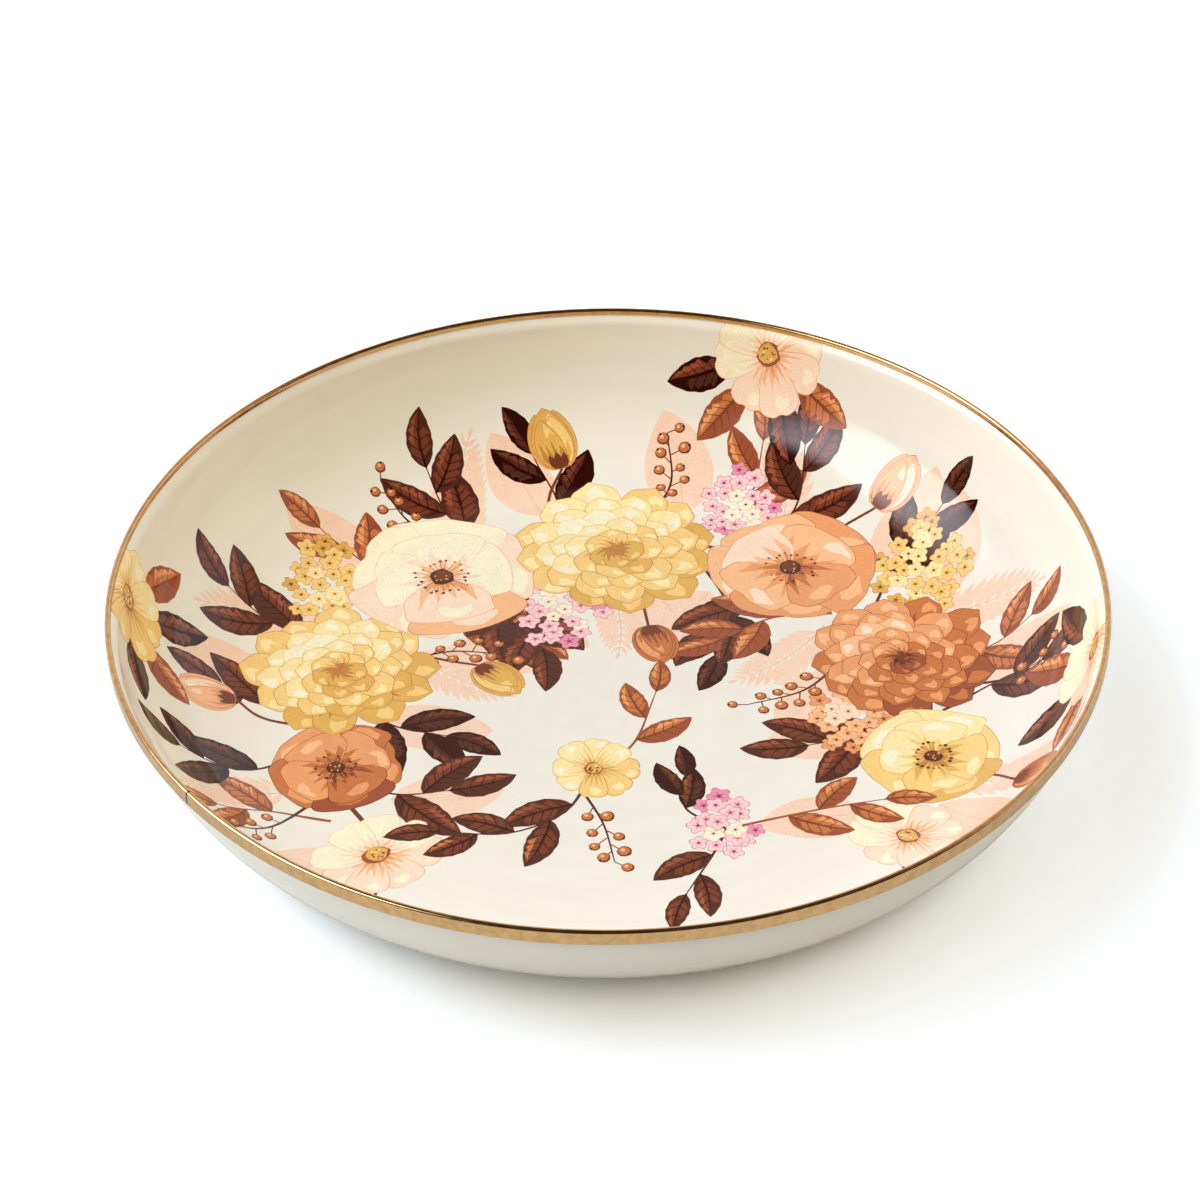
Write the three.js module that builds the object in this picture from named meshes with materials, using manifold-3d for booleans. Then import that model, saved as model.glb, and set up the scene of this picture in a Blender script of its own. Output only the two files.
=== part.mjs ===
// A wide, shallow centerpiece bowl: pressed steel fired with cream enamel, and a bronze-finished
// steel channel crimped over its edge. Millimetres, +Z up, origin at the centre of the base.

import * as THREE from "three";
import { mergeVertices } from "three/addons/utils/BufferGeometryUtils.js";
import Module from "manifold-3d";

const wasm = await Module();
wasm.setup();

// Overall size, over the rim band
const DIAMETER = 400;
const HEIGHT = 62;

// Enamelled sheet: steel with enamel fired on both faces
const SHEET = 1.4;
const WALL_LEAN = THREE.MathUtils.degToRad(8); // lean of the wall's top from the vertical
const FLARE_LEAN = THREE.MathUtils.degToRad(45); // lean of the flared lip inside the band
const FLARE_LENGTH = 1.2; // straight run of the lip
const HEM_RADIUS = 1.0; // inside bend from the upright hem to the lip
const SHOULDER_RADIUS = 6.0; // inside bend from the lip to the wall
const CROWN_RADIUS = 100; // the middle of the base is raised inside this radius
const CROWN_RISE = 1.0;

// Rim band: one strip rolled to a J-shaped channel, its ends meeting in a butt seam
const BAND_GAUGE = 0.4;
const BAND_FIT = 0.1; // crimping clearance between the strip and the enamel
const BAND_HEIGHT = 6.0; // outer leg, from the top of the rim
const BAND_INNER_LEG = 2.5; // inner leg, from the top of the rim
const SEAM_WIDTH = 0.25;
const SEAM_AZIMUTH = THREE.MathUtils.degToRad(218.2); // anticlockwise from +X, seen from above

// Facets
const ROUND_STEPS = 96; // divides by 4, so that the box is exactly DIAMETER wide
const WALL_STEPS = 10;
const BEND_STEPS = 3;
const CROWN_STEPS = 4;
const EDGE_STEPS = 4;
const BEAD_STEPS = 6;

// Worked out from the sizes above
const BAND_RADIUS = DIAMETER / 2;
const HEM_OUTER = BAND_RADIUS - BAND_GAUGE - BAND_FIT;
const HEM_INNER = HEM_OUTER - SHEET;
const BEAD_CENTRE = (HEM_OUTER + HEM_INNER) / 2; // the hem's edge and the bead share this centre
const BEAD_RADIUS = BAND_RADIUS - BEAD_CENTRE;
const BEAD_LEVEL = HEIGHT - BEAD_RADIUS;

// The unit vector from the sheet towards the inside of the bowl, where the sheet leans inwards
// by the given angle from the vertical: 0 is upright and a quarter turn is level.
function inward(lean) {
  return new THREE.Vector2(-Math.cos(lean), Math.sin(lean));
}

// Bends the sheet from one lean to another about the given inside radius, and returns the
// stations that it passes, each a point on the inside surface with the lean there.
function bend(start, radius, leanFrom, leanTo, steps) {
  const side = Math.sign(leanTo - leanFrom);
  const stations = [];
  for (let step = 1; step <= steps; step += 1) {
    const lean = leanFrom + ((leanTo - leanFrom) * step) / steps;
    const turned = inward(leanFrom).sub(inward(lean)).multiplyScalar(side * radius);
    stations.push({ point: start.clone().add(turned), lean });
  }
  return stations;
}

// Points of a half circle that runs from its outer end over the top to its inner end.
function halfCircle(centreRadius, level, radius, steps) {
  const points = [];
  for (let step = 0; step <= steps; step += 1) {
    const angle = (Math.PI * step) / steps;
    points.push(
      new THREE.Vector2(centreRadius + radius * Math.cos(angle), level + radius * Math.sin(angle)),
    );
  }
  return points;
}

// Stations of the sheet's inside surface, from the hem's edge down to the rim of the flat base.
function sheetStations() {
  const hemFoot = new THREE.Vector2(HEM_INNER, HEIGHT - BAND_INNER_LEG);
  const stations = [{ point: hemFoot, lean: 0 }];
  stations.push(...bend(hemFoot, HEM_RADIUS, 0, FLARE_LEAN, BEND_STEPS));

  const lipTop = stations.at(-1).point;
  const lipRun = new THREE.Vector2(-Math.sin(FLARE_LEAN), -Math.cos(FLARE_LEAN));
  const lipFoot = lipTop.clone().addScaledVector(lipRun, FLARE_LENGTH);
  stations.push({ point: lipFoot, lean: FLARE_LEAN });
  stations.push(...bend(lipFoot, SHOULDER_RADIUS, FLARE_LEAN, WALL_LEAN, BEND_STEPS));

  // The wall is one arc, whose outside surface meets the ground at level 0
  const wallTop = stations.at(-1).point;
  const outsideLevel = outsideOf({ point: wallTop, lean: WALL_LEAN }).y;
  const outsideRadius = outsideLevel / (1 - Math.sin(WALL_LEAN));
  stations.push(...bend(wallTop, outsideRadius - SHEET, WALL_LEAN, Math.PI / 2, WALL_STEPS));
  return stations;
}

function outsideOf(station) {
  return station.point.clone().addScaledVector(inward(station.lean), -SHEET);
}

// Points of the base from the middle out to the edge of its raised part, at the given level.
function crownPoints(level) {
  const points = [];
  for (let step = 0; step <= CROWN_STEPS; step += 1) {
    const radius = (CROWN_RADIUS * step) / CROWN_STEPS;
    const share = 1 - (radius / CROWN_RADIUS) ** 2;
    points.push(new THREE.Vector2(radius, level + CROWN_RISE * share ** 2));
  }
  return points;
}

// Turns a section, in radius and height, into a closed body of revolution about +Z.
function revolve(section) {
  const geometry = new THREE.LatheGeometry(section, ROUND_STEPS);
  geometry.rotateX(Math.PI / 2);
  geometry.deleteAttribute("normal");
  geometry.deleteAttribute("uv");
  return mergeVertices(geometry, 1e-4);
}

function toSolid(geometry) {
  const mesh = new wasm.Mesh({
    numProp: 3,
    vertProperties: new Float32Array(geometry.getAttribute("position").array),
    triVerts: new Uint32Array(geometry.getIndex().array),
  });
  return new wasm.Manifold(mesh);
}

function toGeometry(solid) {
  const mesh = solid.getMesh();
  const geometry = new THREE.BufferGeometry();
  geometry.setAttribute("position", new THREE.BufferAttribute(mesh.vertProperties, 3));
  geometry.setIndex(new THREE.BufferAttribute(mesh.triVerts, 1));
  return geometry;
}

// The bowl's section runs from the middle of the underside out and up the outside, over the
// hem's round edge, and down the inside to the middle of the floor.
function bowlGeometry() {
  const stations = sheetStations();
  const section = [
    ...crownPoints(0),
    ...stations.toReversed().map(outsideOf),
    ...halfCircle(BEAD_CENTRE, BEAD_LEVEL, SHEET / 2, EDGE_STEPS),
    ...stations.map((station) => station.point),
    ...crownPoints(SHEET).toReversed(),
  ];
  return revolve(section);
}

// The band's section is an open channel: a long outer leg, a round bead over the hem's edge
// and a short inner leg. A slit between the strip's ends is its seam.
function bandGeometry() {
  const innerFace = BEAD_RADIUS - BAND_GAUGE;
  const outerFoot = HEIGHT - BAND_HEIGHT;
  const innerFoot = HEIGHT - BAND_INNER_LEG;
  const section = [
    new THREE.Vector2(BEAD_CENTRE + BEAD_RADIUS, outerFoot),
    ...halfCircle(BEAD_CENTRE, BEAD_LEVEL, BEAD_RADIUS, BEAD_STEPS),
    new THREE.Vector2(BEAD_CENTRE - BEAD_RADIUS, innerFoot),
    new THREE.Vector2(BEAD_CENTRE - innerFace, innerFoot),
    ...halfCircle(BEAD_CENTRE, BEAD_LEVEL, innerFace, BEAD_STEPS).toReversed(),
    new THREE.Vector2(BEAD_CENTRE + innerFace, outerFoot),
  ];
  const closed = [...section, section[0].clone()];

  const cutter = new THREE.BoxGeometry(4 * BEAD_RADIUS, SEAM_WIDTH, 2 * BAND_HEIGHT);
  cutter.translate(BEAD_CENTRE, 0, HEIGHT - BAND_HEIGHT / 2);
  cutter.rotateZ(SEAM_AZIMUTH);
  cutter.deleteAttribute("normal");
  cutter.deleteAttribute("uv");
  const slit = toSolid(mergeVertices(cutter));
  return toGeometry(toSolid(revolve(closed)).subtract(slit));
}

const enamel = new THREE.MeshStandardMaterial({ color: 0xece8da, roughness: 0.15, metalness: 0 });
const bronze = new THREE.MeshStandardMaterial({ color: 0xc79a66, roughness: 0.28, metalness: 1 });

function named(name, geometry, material) {
  const mesh = new THREE.Mesh(geometry, material);
  mesh.name = name;
  return mesh;
}

const bowl = new THREE.Group();
bowl.add(named("enamelled_bowl", bowlGeometry(), enamel));
bowl.add(named("rim_band", bandGeometry(), bronze));

export default bowl;
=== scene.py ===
# A wide, shallow centerpiece bowl: cream enamel on pressed steel, a floral print fired onto the
# inside and a bronze-finished band crimped over the rim. Metres, +Z up, origin at the centre of
# the base. The print is drawn flat, in millimetres, and then laid onto the inside of the bowl.

import math
import random

import bpy
import numpy as np
from mathutils import Matrix, Vector
from mathutils.geometry import delaunay_2d_cdt


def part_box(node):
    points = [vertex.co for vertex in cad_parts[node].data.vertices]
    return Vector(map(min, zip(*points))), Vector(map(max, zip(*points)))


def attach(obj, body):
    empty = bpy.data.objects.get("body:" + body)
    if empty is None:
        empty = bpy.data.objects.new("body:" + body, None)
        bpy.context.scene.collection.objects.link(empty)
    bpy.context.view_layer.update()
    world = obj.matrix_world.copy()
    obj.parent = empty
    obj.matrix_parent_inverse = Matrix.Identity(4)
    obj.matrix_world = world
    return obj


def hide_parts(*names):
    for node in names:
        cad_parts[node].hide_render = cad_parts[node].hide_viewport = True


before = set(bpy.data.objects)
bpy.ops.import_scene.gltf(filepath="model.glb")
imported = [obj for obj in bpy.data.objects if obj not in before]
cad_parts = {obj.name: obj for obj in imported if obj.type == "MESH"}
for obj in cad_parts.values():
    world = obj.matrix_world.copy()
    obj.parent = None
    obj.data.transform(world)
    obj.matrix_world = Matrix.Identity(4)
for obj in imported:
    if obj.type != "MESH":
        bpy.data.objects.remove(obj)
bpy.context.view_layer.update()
bowl_low, bowl_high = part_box("enamelled_bowl")
band_low, band_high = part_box("rim_band")

MM = 0.001

# The sheet's section, from the edge under the band down to the flat base
SHEET = 1.4 * MM
WALL_LEAN = math.radians(8)  # lean of the wall's top from the vertical
FLARE_LEAN = math.radians(45)  # lean of the flared lip inside the band
FLARE_LENGTH = 1.2 * MM
HEM_RADIUS = 1.0 * MM
SHOULDER_RADIUS = 6.0 * MM
CROWN_RADIUS = 100 * MM  # the middle of the base is raised inside this radius
CROWN_RISE = 1.0 * MM
BAND_GAUGE = 0.4 * MM
BAND_INNER_LEG = 2.5 * MM
SEAM_WIDTH = 0.25 * MM
SEAM_AZIMUTH = math.radians(218.2)

RIM_LEVEL = band_high.z
BAND_RADIUS = band_high.x
BAND_FOOT = band_low.z
HEM_OUTER = bowl_high.x
HEM_INNER = HEM_OUTER - SHEET
BEAD_CENTRE = (HEM_OUTER + HEM_INNER) / 2  # the hem's edge and the bead share this centre
BEAD_RADIUS = BAND_RADIUS - BEAD_CENTRE
BEAD_LEVEL = RIM_LEVEL - BEAD_RADIUS

# How finely the sheet's section is traced
HEM_STEPS = 12
SHOULDER_STEPS = 24
WALL_STEPS = 90
CROWN_STEPS = 40

# How finely the bowl is divided
SECTORS = 240
FLOOR_STEP = 12 * MM
WALL_STEP = 4 * MM
LIP_STEP = 1.0 * MM
FLARE_STEP = 0.4 * MM
EDGE_STEPS = 8


# ---- section of the sheet


def inward(lean):
    """The direction, in radius and height, to the bowl's inside from a sheet with this lean."""
    return np.array([-np.cos(lean), np.sin(lean)])


def bend(start, radius, lean_from, lean_to, steps):
    """Bends the sheet between two leans about an inside radius. Gives rows of radius, height and lean."""
    leans = np.linspace(lean_from, lean_to, steps + 1)[1:]
    swung = inward(lean_from)[:, None] - inward(leans)
    points = start[:, None] + math.copysign(radius, lean_to - lean_from) * swung
    return np.column_stack([points.T, leans])


def inside_section():
    """Rows of radius, height and lean along the inside, from the middle to the sheet's edge."""
    foot = np.array([HEM_INNER, RIM_LEVEL - BAND_INNER_LEG])
    hem = np.array([[HEM_INNER, BEAD_LEVEL, 0.0], [*foot, 0.0]])
    flare = bend(foot, HEM_RADIUS, 0.0, FLARE_LEAN, HEM_STEPS)
    lip_foot = flare[-1, :2] - FLARE_LENGTH * np.array([math.sin(FLARE_LEAN), math.cos(FLARE_LEAN)])
    shoulder = bend(lip_foot, SHOULDER_RADIUS, FLARE_LEAN, WALL_LEAN, SHOULDER_STEPS)

    # The wall is one arc, whose outside surface meets the ground
    wall_top = shoulder[-1, :2]
    outside_level = (wall_top - SHEET * inward(WALL_LEAN))[1]
    outside_radius = outside_level / (1 - math.sin(WALL_LEAN))
    wall = bend(wall_top, outside_radius - SHEET, WALL_LEAN, math.pi / 2, WALL_STEPS)

    share = np.linspace(1, 0, CROWN_STEPS + 1)
    slope = 4 * CROWN_RISE / CROWN_RADIUS * share * (1 - share**2)
    crown = np.column_stack([
        CROWN_RADIUS * share,
        SHEET + CROWN_RISE * (1 - share**2) ** 2,
        math.pi / 2 + np.arctan(slope),
    ])
    return np.vstack([hem, flare, [*lip_foot, FLARE_LEAN], shoulder, wall, crown])[::-1]


SECTION = inside_section()
REACH = np.concatenate([[0.0], np.cumsum(np.hypot(*np.diff(SECTION[:, :2], axis=0).T))])
EDGE_REACH = REACH[-1]  # the sheet's edge, inside the band
FLARE_REACH = EDGE_REACH - 2.8 * MM
LIP_REACH = EDGE_REACH - 10 * MM
FLOOR_REACH = EDGE_REACH - 100 * MM


def turned(radius, level, azimuth):
    """Points or directions at a radius and a level, turned about the bowl's axis."""
    return np.column_stack([radius * np.cos(azimuth), radius * np.sin(azimuth), level + 0 * azimuth])


def on_surface(reach, azimuth, depth=0.0):
    """Points at a depth under the inside surface, by their distance along it, and the way out of it."""
    radius, level, lean = [np.interp(reach, REACH, column) for column in SECTION.T]
    out = inward(lean)
    points = turned(radius - depth * out[0], level - depth * out[1], azimuth)
    return points, turned(out[0], out[1], azimuth)


# ---- print: inks

SHAPES = []  # (outline as complex numbers in millimetres, ink), the last one on top

# Red, green and blue from 0 to 255, as they look on the floor of the bowl in the studio
INKS = {
    "ground": (238, 234, 224),
    "ghost": (245, 211, 188),
    "ghost_deep": (238, 194, 166),
    "cream": (249, 240, 210),
    "butter": (250, 229, 172),
    "straw": (245, 207, 134),
    "gold": (226, 178, 98),
    "ochre": (192, 140, 74),
    "blush": (251, 222, 198),
    "peach": (246, 190, 144),
    "apricot": (234, 162, 112),
    "amber": (202, 124, 78),
    "rust": (162, 92, 66),
    "umber": (126, 74, 55),
    "bark": (98, 62, 50),
    "night": (76, 48, 38),
    "shell": (247, 208, 206),
    "pink": (233, 152, 174),
    "magenta": (206, 102, 146),
    "plum": (132, 54, 78),
}
INK_NAMES = list(INKS)

# Runs of inks from dark to light
SUN = ("rust", "amber", "ochre", "gold", "straw", "butter", "cream")
EMBER = ("bark", "umber", "rust", "amber", "apricot", "peach", "blush")
BLUSH = ("rust", "amber", "apricot", "peach", "blush", "cream", "cream")
ROSE = ("plum", "magenta", "magenta", "pink", "shell", "cream")
FOLIAGE = ("night", "night", "bark", "umber", "rust", "amber", "apricot")


def tone(family, level):
    """The ink at a level of a family, where a level may lie past either end."""
    return family[min(max(round(level), 0), len(family) - 1)]


def paint(outline, ink):
    SHAPES.append((np.asarray(outline), ink))


# ---- print: brush


def spot(azimuth, distance):
    """A place in the flat print, by its azimuth in degrees and its distance from the middle."""
    return distance * np.exp(1j * math.radians(azimuth))


def curve(points, step=2.0):
    """A smooth curve through a few points, in steps of about this length."""
    ends = [2 * points[0] - points[1], *points, 2 * points[-1] - points[-2]]
    parts = []
    for before, first, last, after in zip(ends, ends[1:], ends[2:], ends[3:]):
        number = max(2, int(abs(last - first) / step))
        share = np.arange(number) / number
        parts.append(first + 0.5 * share * (
            last - before
            + share * (2 * before - 5 * first + 4 * last - after)
            + share**2 * (3 * first - before - 3 * last + after)
        ))
    return np.concatenate([*parts, [points[-1]]])


def stroke(path, ink, thick, thin):
    """A line along a path, which narrows from one width to the other."""
    along = np.gradient(path)
    side = 1j * along / np.abs(along) * np.linspace(thick, thin, len(path)) / 2
    paint(np.concatenate([path + side, (path - side)[::-1]]), ink)


def blob(centre, radius, ink, rng, points=10, rough=0.12):
    """A round dab with an uneven edge."""
    reach = radius * np.array([1 + rough * rng.uniform(-1, 1) for _ in range(points)])
    paint(centre + reach * np.exp(2j * np.pi * np.arange(points) / points), ink)


def scattered(centre, radius, rng):
    return centre + radius * complex(rng.uniform(-1, 1), rng.uniform(-1, 1))


def tip_back(first, centre, heading, amount):
    """Foreshortens what was painted since the first shape, across a heading."""
    way = np.exp(1j * heading)
    for index in range(first, len(SHAPES)):
        outline, ink = SHAPES[index]
        local = (outline - centre) / way
        SHAPES[index] = (centre + (local.real + 1j * amount * local.imag) * way, ink)


BLUNT_END = 0.96  # the share along at which a blunt blade's sides end


class Blade:
    """A petal or a leaf. A place on it is a share along its midrib, from root to tip, and a share
    across, from -1 at the right edge to 1 at the left. Pointed ends have a large foot or tip, and a
    tip under a half is blunt."""

    def __init__(
        self, root, heading, length, width, turn=0.0, foot=0.7, tip=0.7, cut=0.0, wave=0.0, teeth=3
    ):
        self.root = root
        self.heading = heading
        self.length = length
        self.width = width
        self.turn = turn or 1e-6
        self.foot = foot
        self.tip = tip
        self.cut = cut
        self.wave = wave
        self.teeth = teeth
        self.blunt = tip < 0.5
        widest = foot / (foot + tip)
        self.peak = widest**foot * (1 - widest) ** tip

    def at(self, along, across):
        along = np.clip(along, 0, 1)
        across = np.asarray(across, float)
        half = self.width / 2 * along**self.foot * (1 - along) ** self.tip / self.peak
        half = half * (1 + self.wave * np.sin(2 * np.pi * self.teeth * along + self.heading * 7))
        notch = self.cut * np.exp(-((across / 0.3) ** 2)) + 0.08 * across**2 * self.blunt
        reach = along * (1 - notch * along**4)
        bent = np.exp(1j * self.turn * reach)
        spine = self.root + self.length * np.exp(1j * self.heading) * (bent - 1) / (1j * self.turn)
        return spine + 1j * np.exp(1j * self.heading) * bent * across * half

    def grown(self, margin):
        """The same blade, larger by a margin all round."""
        root = self.root - margin * np.exp(1j * self.heading)
        return Blade(root, self.heading, self.length + 2 * margin, self.width + 2 * margin, self.turn,
                     self.foot, self.tip, self.cut, self.wave, self.teeth)

    def border(self, step=1.8):
        """The outline: up the left side, across a blunt tip and back down the right side."""
        side = np.linspace(0, 1, max(5, int(self.length / step)))
        top = np.empty(0)
        back = side[-2:0:-1]
        if self.blunt:
            side = BLUNT_END * side**0.8
            top = np.linspace(1, -1, max(3, int(self.width / step)))[1:-1]
            back = side[:0:-1]
        along = np.concatenate([side, np.full(len(top), BLUNT_END), back])
        return self.at(along, np.concatenate([np.ones(len(side)), top, -np.ones(len(back))]))

    def patch(self, near, far, right, left):
        """The part between two shares along, each a list from the right side to the left one."""
        across = np.linspace(right, left, len(near))
        return self.at(np.concatenate([near, far[::-1]]), np.concatenate([across, across[::-1]]))

    def streaks(self, base, reach, rng, count):
        """A patch that runs out from the root in ragged streaks."""
        far = []
        for index in range(2 * count + 1):
            share = rng.uniform(0.6, 1.0) if index % 2 else rng.uniform(0.1, 0.4)
            far.append(base + (reach - base) * share)
        return self.patch([0.03] * len(far), far, -0.92, 0.92)


def petal(blade, family, level, rng, lit):
    """A petal with a thin edge, ragged shade at its root and a light field, which lies across at lit."""
    paint(blade.grown(0.3).border(), tone(family, level - 2))
    paint(blade.border(), tone(family, level))
    paint(blade.streaks(0.12, 0.66, rng, 4), tone(family, level - 1))
    paint(blade.streaks(0.05, 0.40, rng, 3), tone(family, level - 2))
    middle = 0.45 * lit + rng.uniform(-0.1, 0.1)
    near = [rng.uniform(0.62, 0.74) for _ in range(4)]
    far = [0.80, rng.uniform(0.86, 0.92), rng.uniform(0.86, 0.92), 0.80]
    paint(blade.patch(near, far, middle - 0.38, middle + 0.38), tone(family, level + 1))


# ---- print: motifs

LIGHT_FROM = math.radians(125)  # the side of each bloom that is painted lighter
GOLDEN_ANGLE = 2.39996


def lit_by(heading):
    return math.cos(heading - LIGHT_FROM)


def ring_heading(index, number, start, stray, rng):
    """The direction of one of a ring of petals, which may stray by a share of their spacing."""
    return 2 * math.pi * (index + start + rng.uniform(-stray, stray)) / number


def dahlia(centre, radius, family, seed, level=3.4):
    """A full bloom of rings of petals."""
    rng = random.Random(seed)
    for number, outer, inner, deeper in (
        (12, 1.0, 0.34, 0.7), (12, 0.82, 0.24, 0.1), (10, 0.65, 0.14, -0.4),
        (8, 0.47, 0.05, 0.2), (6, 0.30, 0.0, 0.9),
    ):
        start = rng.uniform(0, 1)
        for index in range(number):
            heading = ring_heading(index, number, start, 0.12, rng)
            root = centre + radius * inner * np.exp(1j * heading)
            length = radius * (outer * rng.uniform(0.93, 1.05) - inner)
            width = 2 * math.pi * radius * outer * 0.78 / number * rng.uniform(1.05, 1.25)
            blade = Blade(root, heading, length, width, rng.uniform(-0.25, 0.25), 0.6, 0.40, -0.05)
            petal(blade, family, level + 0.9 * lit_by(heading) - deeper, rng, lit_by(heading - 1.5))
    for _ in range(7):
        place = scattered(centre, radius * 0.07, rng)
        blob(place, radius * 0.035, tone(family, level - rng.choice((2, 3))), rng, 7)


def poppy(centre, radius, family, seed, level=4.4):
    """An open bloom of broad, ruffled petals round a dark boss."""
    rng = random.Random(seed)
    for number, share, deeper in ((5, 1.0, 0.7), (4, 0.80, 0.0)):
        start = rng.uniform(0, 1)
        for index in range(number):
            heading = ring_heading(index, number, start, 0.1, rng)
            length = radius * share * rng.uniform(0.94, 1.04)
            turn = rng.uniform(-0.15, 0.15)
            cut = rng.uniform(-0.03, 0.08)
            blade = Blade(centre, heading, length, length * 1.22, turn, 0.75, 0.32, cut, 0.05, 2)
            petal(blade, family, level + 0.8 * lit_by(heading) - deeper, rng, lit_by(heading - 1.5))
    boss(centre, radius, rng)


def boss(centre, radius, rng):
    """A dark middle with stamens round it."""
    for index in range(22):
        heading = ring_heading(index, 22, 0, 0.3, rng)
        end = centre + radius * rng.uniform(0.22, 0.30) * np.exp(1j * heading)
        stroke(np.array([centre, end]), "amber", 0.5, 0.35)
        blob(end, rng.uniform(0.65, 0.95), rng.choice(("bark", "umber", "ochre", "rust")), rng, 6)
    blob(centre, radius * 0.13, "bark", rng, 12)
    blob(centre + radius * 0.02j, radius * 0.09, "umber", rng, 9)
    for _ in range(6):
        blob(scattered(centre, radius * 0.08, rng), 0.5, "gold", rng, 5)


def cosmos(centre, radius, family, seed, level=4.6, tilt=1.0, facing=0.0):
    """A single bloom of eight toothed petals round a golden disc, more or less from the side."""
    rng = random.Random(seed)
    first = len(SHAPES)
    for index in (0, 5, 2, 7, 4, 1, 6, 3):
        heading = ring_heading(index, 8, 0, 0.12, rng)
        length = radius * rng.uniform(0.92, 1.04)
        blade = Blade(centre, heading, length, length * 0.62, rng.uniform(-0.2, 0.2), 0.8, 0.28, 0.06)
        petal(blade, family, level + 0.7 * lit_by(heading), rng, lit_by(heading - 1.5))
    blob(centre, radius * 0.2, "rust", rng, 12)
    blob(centre + radius * 0.02j, radius * 0.165, "gold", rng, 11)
    for _ in range(12):
        place = centre + radius * 0.12 * math.sqrt(rng.random()) * np.exp(2j * math.pi * rng.random())
        blob(place, rng.uniform(0.45, 0.7), rng.choice(("umber", "rust", "butter")), rng, 5)
    tip_back(first, centre, facing, tilt)


def tulip(root, heading, size, family, seed):
    """A closed bloom from the side, in a small calyx."""
    rng = random.Random(seed)
    for lean, length, width, deeper in (
        (-0.34, 0.95, 0.5, 1.0), (0.34, 0.95, 0.5, 1.0),
        (0.0, 1.0, 0.62, 0.4), (-0.2, 0.86, 0.46, -0.4), (0.22, 0.84, 0.42, 0.2),
    ):
        blade = Blade(root, heading + lean, size * length, size * width, -1.1 * lean, 0.55, 0.75)
        petal(blade, family, 3.6 - deeper, rng, -math.copysign(0.8, lean))
    for lean in (-0.7, 0.0, 0.7):
        paint(Blade(root, heading + lean, size * 0.3, size * 0.14, -0.8 * lean, 0.6, 1.0).border(), "umber")


def leaf(root, heading, length, seed, width=0.5, turn=0.0, level=2.0):
    """A leaf with one half lighter than the other, ragged fields of light and fine veins."""
    rng = random.Random(seed)
    blade = Blade(root, heading, length, length * width, turn, 0.75, 0.9, 0.0, 0.035, 5)
    paint(blade.border(), tone(FOLIAGE, level - 0.6))
    bright = 1 if math.sin(LIGHT_FROM - heading) > 0 else -1
    for side, lighter, low, high, off_rib in (
        (-bright, 0.9, 0.2, 0.7, 0.0), (bright, 1.5, 0.05, 0.93, 0.0), (bright, 2.5, 0.35, 0.85, 0.3),
    ):
        along = np.linspace(low, high, max(6, int(length / 3)))
        near = np.array([rng.uniform(0.07, 0.16) + off_rib for _ in along])
        far = []
        for index in range(len(along)):
            far.append(rng.uniform(0.52, 0.70) if index % 2 else rng.uniform(0.78, 0.92))
        far = np.array(far)
        near[[0, -1]] = far[[0, -1]] = 0.3
        outline = np.concatenate([blade.at(along, side * near), blade.at(along + 0.02, side * far)[::-1]])
        paint(outline, tone(FOLIAGE, level - 0.6 + lighter + rng.uniform(-0.3, 0.3)))
    veins = max(3, int(length / 6))
    for index in range(veins):
        share = 0.12 + 0.66 * index / veins
        for side in (-1, 1):
            vein = blade.at(share + np.array([0.0, 0.12]), side * np.array([0.0, 0.75]))
            stroke(vein, tone(FOLIAGE, level - 1), 0.5, 0.25)
    rib = blade.at(np.linspace(0, 0.93, 7), np.zeros(7))
    stroke(rib, tone(FOLIAGE, level - 1.4), 0.9, 0.3)


def ghost_leaf(root, heading, length):
    blade = Blade(root, heading, length, length * 0.55, 0.3, 0.7, 0.85)
    paint(blade.border(2.5), "ghost")
    stroke(blade.at(np.linspace(0.02, 0.8, 6), np.zeros(6)), "ghost_deep", 0.7, 0.25)


def fern(root, heading, length, turn):
    """A pale frond with pairs of narrow leaflets."""
    blade = Blade(root, heading, length, 1.0, turn)
    for index in range(11):
        share = 0.1 + 0.86 * index / 11
        size = length * 0.30 * (math.sin(math.pi * (0.2 + 0.8 * share))) ** 0.8
        place = blade.at(share, 0.0)
        for side in (-1, 1):
            lean = heading + turn * share + side * (1.05 - 0.35 * share)
            paint(Blade(place, lean, size, size * 0.27, -0.35 * side, 0.6, 1.0).border(2.4), "ghost")
    paint(Blade(blade.at(0.95, 0.0), heading + turn, length * 0.09, length * 0.03).border(2.4), "ghost")
    stroke(blade.at(np.linspace(0, 1, 12), np.zeros(12)), "ghost_deep", 1.0, 0.35)


def twig(points, seed, leaves=(), ink="bark", thick=1.5, size=18, level=2.0):
    """A bent stem with leaves at shares of its length, by turns on either side."""
    path = curve(points)
    stroke(path, ink, thick, 0.5)
    last = len(path) - 1
    for index, share in enumerate(leaves):
        place = int(share * last)
        along = path[min(place + 1, last)] - path[max(place - 1, 0)]
        side = 1 if index % 2 else -1
        heading = np.angle(along) + side * 0.8 * (share < 0.97)
        leaf(path[place], heading, size * (1.15 - 0.4 * share), seed + index, 0.44, -0.4 * side, level)
    return path


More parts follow.
